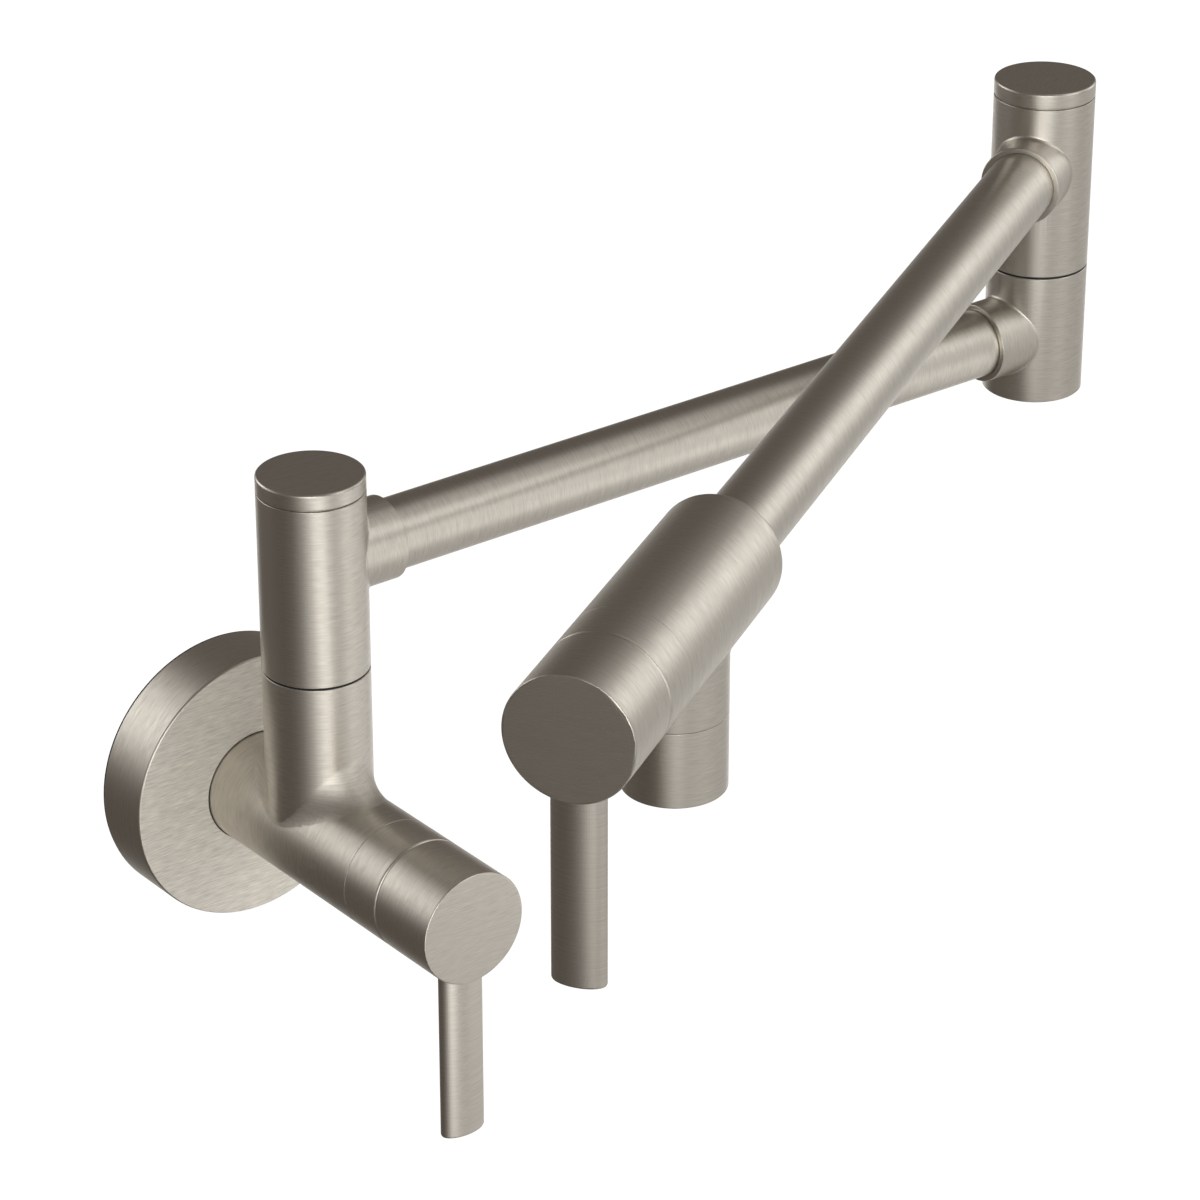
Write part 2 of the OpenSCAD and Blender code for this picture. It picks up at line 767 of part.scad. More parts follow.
module aerator_insert() {
    foot = -neck_drop - collar_h + collar_lip_h + ring_gap;
    top = aerator_washer_top - aerator_washer_h - ring_gap;
    cup_d = aerator_d - 2*aerator_wall;
    color(acetal) at_spout() difference() {
        rod(aerator_d, foot, top);
        rod(cup_d, foot - cut, foot + aerator_rim_h);
        rod(cup_d, foot + aerator_rim_h + aerator_floor_h, top + cut);
        rod(aerator_hole_d, foot, top);
        for (ring = [1:aerator_rings], k = [1:first_ring_holes*ring])
            rotate([0, 0, 360*k/(first_ring_holes*ring)]) translate([ring*aerator_pitch, 0, 0])
                rod(aerator_hole_d, foot, top);
    }
}
module aerator_washer() {
    color(black_rubber) at_spout() tube_between(aerator_d, aerator_d - 2*aerator_washer_w,
        aerator_washer_top - aerator_washer_h, aerator_washer_top);
}

wall_bracket();
bracket_grub_screw();
wall_flange();
flange_gasket();
flange_o_ring();
base_valve_body();
at_base() seat_seal();  // base_seat_seal
at_base() fixed_disc();  // base_fixed_disc
at_base() core_housing();  // base_core_housing
at_base() core_o_ring();  // base_core_o_ring
at_base() core_nut();  // base_core_nut
at_base() trim_ring();  // base_trim_ring
at_base_column() post();  // base_post
at_base_column() post_o_rings();  // base_post_o_rings
at_base_column() bearing_ring();  // base_bearing_ring
at_base_column() swivel_washer();  // base_swivel_washer
at_base_column() thrust_washer();  // base_thrust_washer
at_base_column() post_nut();  // base_post_nut
at_base() hub();  // base_hub
at_base() lever();  // base_lever
at_base() stem();  // base_stem
at_base() stem_o_ring();  // base_stem_o_ring
at_base() moving_disc();  // base_moving_disc
at_base() hub_screw();  // base_hub_screw
at_base_column() swivel_head();  // inner_head
at_base_column() head_cap();  // inner_cap
at_base_column() cap_o_ring();  // inner_cap_o_ring
inner_tube();
elbow_base();
at_elbow() post();  // elbow_post
at_elbow() post_o_rings();  // elbow_post_o_rings
at_elbow() bearing_ring();  // elbow_bearing_ring
at_elbow() swivel_washer();  // elbow_swivel_washer
at_elbow() thrust_washer();  // elbow_thrust_washer
at_elbow() post_nut();  // elbow_post_nut
at_elbow() along_outer_arm() swivel_head();  // outer_head
at_elbow() head_cap();  // outer_cap
at_elbow() cap_o_ring();  // outer_cap_o_ring
outer_tube();
spout_body();
outlet_collar();
aerator_insert();
aerator_washer();
at_spout() seat_seal();  // spout_seat_seal
at_spout() fixed_disc();  // spout_fixed_disc
at_spout() core_housing();  // spout_core_housing
at_spout() core_o_ring();  // spout_core_o_ring
at_spout() core_nut();  // spout_core_nut
at_spout() trim_ring();  // spout_trim_ring
at_spout() hub();  // spout_hub
at_spout() lever();  // spout_lever
at_spout() stem();  // spout_stem
at_spout() stem_o_ring();  // spout_stem_o_ring
at_spout() moving_disc();  // spout_moving_disc
at_spout() hub_screw();  // spout_hub_screw
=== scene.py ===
"""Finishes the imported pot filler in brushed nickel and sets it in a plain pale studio.

Everything is in metres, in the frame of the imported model: +X runs along the wall, -Y into the room and
+Z up. Each visible nickel node is replaced by a piece of the same shape with rounded edges and a map of
its brushing, and the parts inside keep their meshes and get the finish of their material.
"""

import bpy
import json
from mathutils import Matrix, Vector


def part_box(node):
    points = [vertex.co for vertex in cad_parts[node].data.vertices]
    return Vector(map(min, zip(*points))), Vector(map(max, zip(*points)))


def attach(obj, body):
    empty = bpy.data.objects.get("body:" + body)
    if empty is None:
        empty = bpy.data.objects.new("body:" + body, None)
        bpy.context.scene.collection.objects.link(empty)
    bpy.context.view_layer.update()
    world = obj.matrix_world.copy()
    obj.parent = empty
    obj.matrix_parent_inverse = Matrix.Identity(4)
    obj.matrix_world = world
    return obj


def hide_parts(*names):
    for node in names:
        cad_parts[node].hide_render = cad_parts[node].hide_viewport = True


bl_info = {
    "name": "Pot filler finishes",
    "version": (1, 0, 0),
    "blender": (4, 5, 0),
    "location": "3D View > Sidebar > Pot filler",
    "description": "Turned, brushed and assembled pieces of a wall-mounted pot filler",
    "category": "Object",
}

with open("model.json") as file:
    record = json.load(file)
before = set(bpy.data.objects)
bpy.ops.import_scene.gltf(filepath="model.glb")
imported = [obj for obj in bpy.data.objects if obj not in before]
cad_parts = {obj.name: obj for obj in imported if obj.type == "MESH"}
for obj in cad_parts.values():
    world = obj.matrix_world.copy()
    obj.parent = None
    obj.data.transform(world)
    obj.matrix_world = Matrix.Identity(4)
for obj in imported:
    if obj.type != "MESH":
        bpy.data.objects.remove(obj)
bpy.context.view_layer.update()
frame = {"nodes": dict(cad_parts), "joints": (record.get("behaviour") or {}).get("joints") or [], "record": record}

import json
import math

import bmesh
import bpy
from bpy.props import FloatProperty, FloatVectorProperty, IntProperty, PointerProperty
from mathutils import Matrix, Vector

MM = 0.001
ALONG_WALL, TO_ROOM, UP = Vector((1, 0, 0)), Vector((0, -1, 0)), Vector((0, 0, 1))

# The UV map of the brushing, the attribute that marks fillets, and the record's slot of the nickel pieces
MAP = "brushing"
BLEND = "hand_brushed"
SLOT = "brushed_nickel"

# Cosines between a face's normal and an axis: above END the face is brushed as a flat end, above FLAT it
# takes a flat face's finish, and below SIDE it may lie on the turned side
END, FLAT, SIDE = 0.95, 0.9, 0.8

# Edges that turn by this much or more stay sharp
CREASE = math.radians(50)

# Points closer than WELD metres become one, and edges shorter than SPECK metres are dissolved
WELD, SPECK = 1e-6, 1e-7

# Nearly all of a noise texture lies between these two values
NOISE_LOW, NOISE_HIGH = 0.3, 0.7


def linear(code):
    """Linear RGBA of an sRGB hex colour such as D4CDC1."""
    shares = [int(code[i:i + 2], 16) / 255 for i in (0, 2, 4)]
    return tuple(s / 12.92 if s <= 0.04045 else ((s + 0.055) / 1.055) ** 2.4 for s in shares) + (1.0,)


def joint(name):
    """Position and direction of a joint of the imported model."""
    found = next(j for j in frame["joints"] if j["name"] == name)
    return Vector(found["pos_m"]), Vector(found["axis"])


def size_of(node):
    """Width, depth and height of a node's box."""
    lo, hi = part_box(node)
    return hi - lo


# The axes that everything is turned about
BASE = joint("base_handle_turn")[0]
COLUMN = joint("base_swivel")[0]
ELBOW = joint("elbow_swivel")[0]
SPOUT, TO_SPOUT_HUB = joint("spout_handle_turn")
OUTER_ARM = Vector((ELBOW.x, ELBOW.y, SPOUT.z))
INNER_ARM_Z = (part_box("inner_tube")[0].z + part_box("inner_tube")[1].z) / 2
INNER_ARM = Vector((COLUMN.x, COLUMN.y, INNER_ARM_Z))

# Radii taken from the nodes' boxes
COLUMN_R = size_of("inner_cap").x / 2
BARREL_R = size_of("base_hub").x / 2
TUBE_R = size_of("inner_tube").z / 2
NOZZLE_R = size_of("outlet_collar").x / 2
FLANGE_R = size_of("wall_flange").x / 2

# Radii that no box gives: an arm socket, the upright screw bore in a hub, and the mean of an oval lever
BOSS_R, HUB_BORE_R, LEVER_R = 11.5 * MM, 2 * MM, 5 * MM


class NickelFinish(bpy.types.PropertyGroup):
    colour: FloatVectorProperty(
        name="Nickel", description="Reflected colour of the nickel plate", subtype="COLOR",
        size=4, min=0, max=1, default=linear("D1CCC2"))
    roughness: FloatProperty(
        name="Roughness", description="Mean roughness of the brushed plate", subtype="FACTOR",
        min=0, max=1, default=0.40)
    # The flange's colour is lighter than the nickel's: painted light that evens out the face's shade
    flange_lightened_colour: FloatVectorProperty(
        name="Flange's face", description="Reflected colour of the belt-brushed flange", subtype="COLOR",
        size=4, min=0, max=1, default=linear("F3F0E9"))
    flange_roughness: FloatProperty(
        name="Flange's roughness", description="Mean roughness of the belt-brushed flange",
        subtype="FACTOR", min=0, max=1, default=0.88)
    fillet_haze: FloatProperty(
        name="Fillets' haze", description="Added roughness of the fillets, which are brushed by hand",
        subtype="FACTOR", min=0, max=1, default=0.18)
    spread: FloatProperty(
        name="Spread", description="How much further highlights run across the brushing than along it",
        subtype="FACTOR", min=0, max=1, default=0.3)
    streak_width: FloatProperty(
        name="Streak width", description="Width of the brush marks", subtype="DISTANCE", unit="LENGTH",
        default=0.38 * MM, min=0.05 * MM, precision=5)
    streak_length: FloatProperty(
        name="Streak length", description="Length of the brush marks", subtype="DISTANCE", unit="LENGTH",
        default=4 * MM, min=1 * MM, precision=4)
    streak_depth: FloatProperty(
        name="Streak depth", description="Depth of the brush marks", subtype="DISTANCE", unit="LENGTH",
        default=0.004 * MM, min=0, precision=6)


class EdgeRounding(bpy.types.PropertyGroup):
    steps: IntProperty(
        name="Steps", description="Faces across each rounded edge", default=3, min=1, max=8)
    turn_steps: IntProperty(
        name="Turn steps", description="Faces round each turned piece", default=128, min=24, max=256)
    rim: FloatProperty(
        name="Rims", description="Rounding of the caps' and the flange's front edges", subtype="DISTANCE",
        unit="LENGTH", default=0.7 * MM, min=0, precision=5)
    seam: FloatProperty(
        name="Seams", description="Rounding of the edges at the swivels and the hubs", subtype="DISTANCE",
        unit="LENGTH", default=0.3 * MM, min=0, precision=5)
    hairline: FloatProperty(
        name="Hairlines", description="Rounding of edges that meet with no gap", subtype="DISTANCE",
        unit="LENGTH", default=0.14 * MM, min=0, precision=5)
    lit_line: FloatProperty(
        name="Lit lines", description="Rounding of the trim rings' front edges, seen as bright lines",
        subtype="DISTANCE", unit="LENGTH", default=0.75 * MM, min=0, precision=5)


class InnerFinishes(bpy.types.PropertyGroup):
    brass: FloatVectorProperty(
        name="Brass", description="Machined brass of the valve cores, posts and nuts", subtype="COLOR",
        size=4, min=0, max=1, default=linear("E0C07A"))
    steel: FloatVectorProperty(
        name="Stainless steel", description="Bracket and grub screws", subtype="COLOR",
        size=4, min=0, max=1, default=linear("C9C8C4"))
    ceramic: FloatVectorProperty(
        name="Ceramic", description="Lapped alumina discs", subtype="COLOR",
        size=4, min=0, max=1, default=linear("F1EEE4"))
    rubber: FloatVectorProperty(
        name="Rubber", description="Gasket, washers and O-rings", subtype="COLOR",
        size=4, min=0, max=1, default=linear("1B1B1C"))
    acetal: FloatVectorProperty(
        name="Acetal", description="Bearing rings, thrust washers and aerator", subtype="COLOR",
        size=4, min=0, max=1, default=linear("EDECE6"))


class StudioLight(bpy.types.PropertyGroup):
    floor: FloatVectorProperty(
        name="Floor", description="Colour of the pale floor", subtype="COLOR",
        size=4, min=0, max=1, default=linear("E4E2DE"))
    floor_drop: FloatProperty(
        name="Floor height", description="Height of the floor from the valve's axis", unit="LENGTH",
        subtype="DISTANCE", default=-1.2)
    floor_right: FloatProperty(
        name="Floor on the right", description="Brightness of the floor to the right of the part",
        default=0.46, min=0, max=1)
    world: FloatProperty(
        name="Surroundings", description="Strength of the even light from all round", default=0.135, min=0)
    world_colour: FloatVectorProperty(
        name="Surroundings' colour", description="Colour of the even light from all round", subtype="COLOR",
        size=4, min=0, max=1, default=linear("F7E8DD"))


def add_node(material, kind, inputs=(), **settings):
    """Adds a node to a material, the world or a lamp.

    inputs pairs each socket's name or number with a value, or with a socket to link.
    """
    tree = material.node_tree
    node = tree.nodes.new(kind)
    for key, value in settings.items():
        setattr(node, key, value)
    for key, value in dict(inputs).items():
        if isinstance(value, bpy.types.NodeSocket):
            tree.links.new(value, node.inputs[key])
        else:
            node.inputs[key].default_value = value
    return node


def new_material(name, shown):
    """An empty node material. shown is its colour in a plain viewport."""
    material = bpy.data.materials.new(name)
    material.use_nodes = True
    material.node_tree.nodes.clear()
    material.diffuse_color = shown
    return material


def cover(material, shader):
    """Makes a shader the material's surface."""
    add_node(material, "ShaderNodeOutputMaterial", {"Surface": shader})
    return material


def over_noise(material, noise, low, high):
    """A value that goes from low to high as a noise goes over its usual span."""
    return add_node(material, "ShaderNodeMapRange", {
        "Value": noise.outputs[0], "From Min": NOISE_LOW, "From Max": NOISE_HIGH,
        "To Min": low, "To Max": high}).outputs[0]


def toned(material, colour, tone):
    """The colour multiplied by a tone, where 1 leaves it as it is."""
    return add_node(material, "ShaderNodeMix", {
        "Factor": 1, 6: colour, 7: tone}, data_type="RGBA", blend_type="MULTIPLY").outputs[2]


def smooth_fade(material, value, ends, shares):
    """A value that goes smoothly from one share to the other as the given value goes between its ends."""
    return add_node(material, "ShaderNodeMapRange", {
        "Value": value, "From Min": ends[0], "From Max": ends[1], "To Min": shares[0], "To Max": shares[1]},
        interpolation_type="SMOOTHSTEP").outputs[0]


def combine(material, operation, first, second):
    """The result of one maths operation on two values."""
    return add_node(material, "ShaderNodeMath", {0: first, 1: second}, operation=operation).outputs[0]


def brushed_nickel(name, look, base, roughness):
    """Satin nickel plate on brass, brushed with an abrasive belt while the piece turns.

    The marks run round each turned surface and straight over flat ends. They spread the lamps a little
    further across themselves than along, so a column carries soft upright bands of light, and they break
    each band into fine streaks. The real marks are about 0.05 mm wide; they are drawn eight times as wide,
    which is the finest that shows.
    """
    material = new_material(name, base)
    coords = add_node(material, "ShaderNodeUVMap", uv_map=MAP)
    marks = add_node(material, "ShaderNodeMapping", {
        "Vector": coords.outputs["UV"], "Scale": (1 / look.streak_length, 1 / look.streak_width, 1)})
    streaks = add_node(material, "ShaderNodeTexNoise", {
        "Vector": marks.outputs["Vector"], "Scale": 1, "Detail": 2, "Roughness": 0.55})
    # Broader, fainter bands from each pass of the belt, which start elsewhere so as not to repeat the streaks
    elsewhere = (7, 3, 0)
    passes = add_node(material, "ShaderNodeMapping", {
        "Vector": coords.outputs["UV"], "Location": elsewhere,
        "Scale": (0.25 / look.streak_length, 0.3 / look.streak_width, 1)})
    bands = add_node(material, "ShaderNodeTexNoise", {
        "Vector": passes.outputs["Vector"], "Scale": 1, "Detail": 1})
    mixed = add_node(material, "ShaderNodeMix", {
        "Factor": 0.25, 2: streaks.outputs[0], 3: bands.outputs[0]})
    # A bright streak is also a little smoother
    darkest, brightest, uneven = 0.86, 1.08, 0.05
    colour = toned(material, base, over_noise(material, mixed, darkest, brightest))
    by_hand = add_node(material, "ShaderNodeAttribute", attribute_name=BLEND)
    rough = add_node(material, "ShaderNodeMath", {
        0: by_hand.outputs["Fac"], 1: look.fillet_haze,
        2: over_noise(material, mixed, roughness + uneven, roughness - uneven)}, operation="MULTIPLY_ADD")
    grooves = add_node(material, "ShaderNodeBump", {
        "Height": mixed.outputs[0], "Strength": 1, "Distance": look.streak_depth})
    tangent = add_node(material, "ShaderNodeTangent", direction_type="UV_MAP", uv_map=MAP)
    quarter_turn = 0.25
    metal = add_node(material, "ShaderNodeBsdfPrincipled", {
        "Base Color": colour, "Metallic": 1, "Roughness": rough.outputs[0],
        "Anisotropic": look.spread, "Anisotropic Rotation": quarter_turn, "Normal": grooves.outputs[0],
        "Tangent": tangent.outputs[0]})
    return cover(material, metal.outputs[0])


def turned_metal(name, colour, roughness, mark_width):
    """Brass or steel from the lathe or the tumbler: fine scratches every way under a light, cloudy haze."""
    material = new_material(name, colour)
    coords = add_node(material, "ShaderNodeTexCoord")
    marks = add_node(material, "ShaderNodeTexNoise", {
        "Vector": coords.outputs["Object"], "Scale": 1 / mark_width, "Detail": 4, "Roughness": 0.7})
    haze = add_node(material, "ShaderNodeTexNoise", {
        "Vector": coords.outputs["Object"], "Scale": 0.1 / mark_width, "Detail": 2})
    scratch_depth = 0.01 * MM
    bump = add_node(material, "ShaderNodeBump", {
        "Height": marks.outputs[0], "Strength": 0.3, "Distance": scratch_depth})
    metal = add_node(material, "ShaderNodeBsdfPrincipled", {
        "Base Color": toned(material, colour, over_noise(material, haze, 0.86, 1.05)), "Metallic": 1,
        "Roughness": over_noise(material, marks, roughness - 0.06, roughness + 0.08),
        "Normal": bump.outputs[0]})
    return cover(material, metal.outputs[0])


def moulded(name, colour, roughness, grain, ior):
    """Rubber, acetal or ceramic: an even body with a fine grain from its mould or lapping plate."""
    material = new_material(name, colour)
    coords = add_node(material, "ShaderNodeTexCoord")
    grains = add_node(material, "ShaderNodeTexNoise", {
        "Vector": coords.outputs["Object"], "Scale": 1 / grain, "Detail": 3})
    grain_depth = 0.01 * MM
    bump = add_node(material, "ShaderNodeBump", {
        "Height": grains.outputs[0], "Strength": 0.4, "Distance": grain_depth})
    body = add_node(material, "ShaderNodeBsdfPrincipled", {
        "Base Color": toned(material, colour, over_noise(material, grains, 0.93, 1.04)),
        "Roughness": over_noise(material, grains, roughness - 0.04, roughness + 0.05), "IOR": ior,
        "Normal": bump.outputs[0]})
    return cover(material, body.outputs[0])


def turned_nickel():
    """The nickel of the turned pieces, made on first use."""
    name, look = "Brushed nickel plate", bpy.context.scene.nickel_finish
    return bpy.data.materials.get(name) or brushed_nickel(name, look, look.colour, look.roughness)


def nearest_axis(point, normal, axes):
    """The axis whose turned surface the point lies on, or the first one."""
    near = 0.25 * MM
    for origin, direction, radius in axes:
        reach = point - origin
        away = reach - direction * reach.dot(direction)
        if abs(away.length - radius) < near and abs(normal.dot(direction)) < SIDE:
            return origin, direction
    return axes[0][:2]


def map_brushing(bm, axes, straight):
    """Maps the brushing in metres: u along the marks, v across them.

    axes holds (origin, direction, radius) for each turned surface. A face square to its own axis is mapped
    straight, with u along the level direction named by straight.
    """
    layer = bm.loops.layers.uv.new(MAP)
    for face in bm.faces:
        middle = face.calc_center_median()
        flat = next((way for _, way, _ in axes if abs(face.normal.dot(way)) > END), None)
        if flat is not None:
            along = (straight - flat * straight.dot(flat)).normalized()
            across = flat.cross(along)
            for loop in face.loops:
                loop[layer].uv = (loop.vert.co.dot(along), loop.vert.co.dot(across))
            continue
        origin, direction = nearest_axis(middle, face.normal, axes)
        side = direction.orthogonal()
        other = direction.cross(side)
        reach = middle - origin
        turn = math.atan2(reach.dot(other), reach.dot(side))
        radius = (reach - direction * reach.dot(direction)).length
        for loop in face.loops:
            reach = loop.vert.co - origin
            here = math.atan2(reach.dot(other), reach.dot(side))
            step = (here - turn + math.pi) % (2 * math.pi) - math.pi
            loop[layer].uv = (radius * (turn + step), reach.dot(direction))


def mark_fillets(bm, axes):
    """Marks each point with 0 on a turned surface, rising to 1 well inside a fillet brushed by hand."""
    layer = bm.verts.layers.float.new(BLEND)
    full = 0.3 * MM
    for vert in bm.verts:
        reaches = [(vert.co - origin, direction, radius) for origin, direction, radius in axes]
        gaps = [abs((reach - way * reach.dot(way)).length - radius) for reach, way, radius in reaches]
        vert[layer] = min(1, min(gaps) / full)
    return bm


def finish_piece(bm, node, body, axes, straight, face_finish=None):
    """Makes the mesh an object that replaces a node, with its brushing mapped and its edges shaded.

    axes and straight are as in map_brushing. face_finish is the material of the faces square to the first
    axis, where it differs from the rest.
    """
    bmesh.ops.remove_doubles(bm, verts=bm.verts, dist=WELD)
    bmesh.ops.recalc_face_normals(bm, faces=bm.faces)
    map_brushing(bm, axes, straight)
    for edge in bm.edges:
        edge.smooth = len(edge.link_faces) == 2 and edge.calc_face_angle(math.pi) < CREASE
    for face in bm.faces:
        face.smooth = True
        face.material_index = int(face_finish is not None and abs(face.normal.dot(axes[0][1])) > FLAT)
    mesh = bpy.data.meshes.new("brushed_" + node)
    bm.to_mesh(mesh)
    bm.free()
    piece = bpy.data.objects.new("brushed_" + node, mesh)
    bpy.context.scene.collection.objects.link(piece)
    mesh.materials.append(turned_nickel())
    if face_finish:
        mesh.materials.append(face_finish)
    shade = piece.modifiers.new("Even shading", "WEIGHTED_NORMAL")
    shade.keep_sharp = True
    shade.mode = "FACE_AREA"
    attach(piece, body)
    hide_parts(node)
    return piece


def paint_seam_shade(piece, node, end):
    """Paints the flat end of a piece inside its swivel's seam near black, the lower end for 0 and the upper for 1.

    The near black is painted shade, which keeps the seam a black line from every side whatever the lamps do.
    """
    name = "Swivel seam painted shade"
    # A near-black material, painted shade for the seam's flat ends
    seam_shade = bpy.data.materials.get(name) or moulded(name, linear("141312"), 0.5, 0.5 * MM, 1.4)
    mesh = piece.data
    mesh.materials.append(seam_shade)
    height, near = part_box(node)[end].z, 0.05 * MM
    for face in mesh.polygons:
        if abs(face.normal.z) > FLAT and abs(face.center.z - height) < near:
            face.material_index = 1


def placed(origin, direction):
    """Matrix that takes a shape turned about its own Z to an axis of the part."""
    return Matrix.Translation(origin) @ direction.to_track_quat("Z", "Y").to_matrix().to_4x4()


def turn_profile(corners, origin, direction):
    """Spins a profile about an axis. corners are (radius, height, rounding), from one end to the other.

    A profile that starts and ends on the axis makes a solid piece, and any other is closed into a ring.
    """
    edges = bpy.context.scene.edge_rounding
    bm = bmesh.new()
    points = [bm.verts.new((radius, 0, height)) for radius, height, _ in corners]
    lines = list(zip(points, points[1:]))
    if corners[0][0] > 0:
        lines.append((points[-1], points[0]))
    for line in lines:
        bm.edges.new(line)
    for point, (_, _, rounding) in zip(points, corners):
        if rounding > 0:
            bmesh.ops.bevel(
                bm, geom=[point], offset=rounding, offset_type="OFFSET", segments=edges.steps,
                profile=0.5, affect="VERTICES", material=-1)
    bmesh.ops.spin(
        bm, geom=bm.verts[:] + bm.edges[:], cent=(0, 0, 0), axis=(0, 0, 1), angle=2 * math.pi,
        steps=edges.turn_steps, use_merge=True)
    bmesh.ops.remove_doubles(bm, verts=bm.verts, dist=WELD)
    bmesh.ops.dissolve_degenerate(bm, edges=bm.edges, dist=SPECK)
    bmesh.ops.transform(bm, matrix=placed(origin, direction), verts=bm.verts)
    return bm


def copy_of(node):
    """A merged copy of a node's mesh."""
    bm = bmesh.new()
    bm.from_mesh(frame["nodes"][node].data)
    bmesh.ops.remove_doubles(bm, verts=bm.verts, dist=WELD)
    return bm


def reach_along(node, origin, direction):
    """Lowest and highest distance of a node's mesh from the origin along a direction."""
    places = [(v.co - origin).dot(direction) for v in frame["nodes"][node].data.vertices]
    return min(places), max(places)


class POT_FILLER_OT_flange(bpy.types.Operator):
    """Turns the wall flange, hollow behind, with a slip bore for the barrel"""
    bl_idname = "pot_filler.flange"
    bl_label = "Wall flange"

    def execute(self, context):
        edges = context.scene.edge_rounding
        origin = Vector((BASE.x, 0, BASE.z))
        back, front = reach_along("wall_flange", origin, TO_ROOM)
        side_wall, face_wall, sleeve_length, slip = 2.5 * MM, 3 * MM, 4 * MM, 0.25 * MM
        side, inner_face, bore = FLANGE_R - side_wall, front - face_wall, BARREL_R + slip
        sleeve_r, sleeve_end = 20 * MM, inner_face - sleeve_length
        bm = turn_profile([
            (bore, front, edges.hairline), (bore, sleeve_end, edges.seam), (sleeve_r, sleeve_end, edges.seam),
            (sleeve_r, inner_face, edges.seam), (side, inner_face, edges.seam), (side, back, edges.hairline),
            (FLANGE_R, back, edges.hairline), (FLANGE_R, front, edges.rim)], origin, TO_ROOM)
        # The flange's face is brushed flat on a belt, which leaves it duller than a turned side, and its colour is
        # painted lighter than the nickel's, painted light that evens out its shade
        look = context.scene.nickel_finish
        belted_and_lightened = brushed_nickel("Belt-brushed nickel plate with painted light", look, look.flange_lightened_colour, look.flange_roughness)
        finish_piece(bm, "wall_flange", "wall_body", [(origin, TO_ROOM, FLANGE_R)], ALONG_WALL, belted_and_lightened)
        return {"FINISHED"}


class POT_FILLER_OT_valve_bodies(bpy.types.Operator):
    """Finishes the two valve bodies, each a barrel blended into an upright post"""
    bl_idname = "pot_filler.valve_bodies"
    bl_label = "Valve bodies"

    def execute(self, context):
        for node, body, axes, level in (
            ("base_valve_body", "wall_body", [(COLUMN, UP, COLUMN_R), (BASE, TO_ROOM, BARREL_R)],
             ALONG_WALL),
            ("spout_body", "outer_arm", [(SPOUT, TO_SPOUT_HUB, BARREL_R), (SPOUT, UP, NOZZLE_R)],
             UP.cross(TO_SPOUT_HUB)),
        ):
            piece = finish_piece(mark_fillets(copy_of(node), axes), node, body, axes, level)
            if node == "base_valve_body":
                # Painted shade on the column's top inside the swivel's seam
                paint_seam_shade(piece, node, 1)
        return {"FINISHED"}


class POT_FILLER_OT_swivel_heads(bpy.types.Operator):
    """Finishes the two swivel heads and the foot of the elbow, with their arm sockets"""
    bl_idname = "pot_filler.swivel_heads"
    bl_label = "Swivel heads"

    def execute(self, context):
        for node, body, foot, arm, way, seam_end in (
            ("inner_head", "inner_arm", COLUMN, INNER_ARM, ALONG_WALL, 0),
            ("elbow_base", "inner_arm", ELBOW, INNER_ARM, ALONG_WALL, 1),
            ("outer_head", "outer_arm", ELBOW, OUTER_ARM, TO_SPOUT_HUB, 0),
        ):
            piece = finish_piece(copy_of(node), node, body, [(foot, UP, COLUMN_R), (arm, way, BOSS_R)], way)
            # Painted shade on the flat end inside this swivel's seam
            paint_seam_shade(piece, node, seam_end)
        return {"FINISHED"}


class POT_FILLER_OT_caps(bpy.types.Operator):
    """Turns the two caps, each on a plug with an O-ring groove and over a hairline seam"""
    bl_idname = "pot_filler.caps"
    bl_label = "Caps"

    def execute(self, context):
        edges = context.scene.edge_rounding
        rim_h, seam, seat_step = 4.5 * MM, 0.3 * MM, 0.7 * MM
        plug_r, seat_r = 11.7 * MM, COLUMN_R - seat_step
        groove_r, groove_half = 10.45 * MM, 0.7 * MM
        for node, body, axis, straight in (
            ("inner_cap", "inner_arm", COLUMN, ALONG_WALL),
            ("outer_cap", "outer_arm", ELBOW, TO_SPOUT_HUB),
        ):
            low, high = reach_along(node, axis, UP)
            rim = high - rim_h
            seat = rim - seam
            middle = (low + seat) / 2
            bm = turn_profile([
                (0, low, 0), (plug_r, low, edges.hairline), (plug_r, middle - groove_half, 0),
                (groove_r, middle - groove_half, 0), (groove_r, middle + groove_half, 0),
                (plug_r, middle + groove_half, 0), (plug_r, seat, 0), (seat_r, seat, 0), (seat_r, rim, 0),
                (COLUMN_R, rim, edges.seam), (COLUMN_R, high, edges.rim), (0, high, 0)], axis, UP)
            finish_piece(bm, node, body, [(axis, UP, COLUMN_R)], straight)
        return {"FINISHED"}


class POT_FILLER_OT_arm_tubes(bpy.types.Operator):
    """Draws the two arm tubes, open at both ends inside their sockets"""
    bl_idname = "pot_filler.arm_tubes"
    bl_label = "Arm tubes"

    def execute(self, context):
        edges = context.scene.edge_rounding
        wall = 1.5 * MM
        for node, body, axis, way in (
            ("inner_tube", "inner_arm", INNER_ARM, ALONG_WALL),
            ("outer_tube", "outer_arm", OUTER_ARM, TO_SPOUT_HUB),
        ):
            start, end = reach_along(node, axis, way)
            bm = turn_profile([
                (TUBE_R - wall, start, edges.hairline), (TUBE_R, start, edges.hairline),
                (TUBE_R, end, edges.hairline), (TUBE_R - wall, end, edges.hairline)], axis, way)
            finish_piece(bm, node, body, [(axis, way, TUBE_R)], UP)
        return {"FINISHED"}


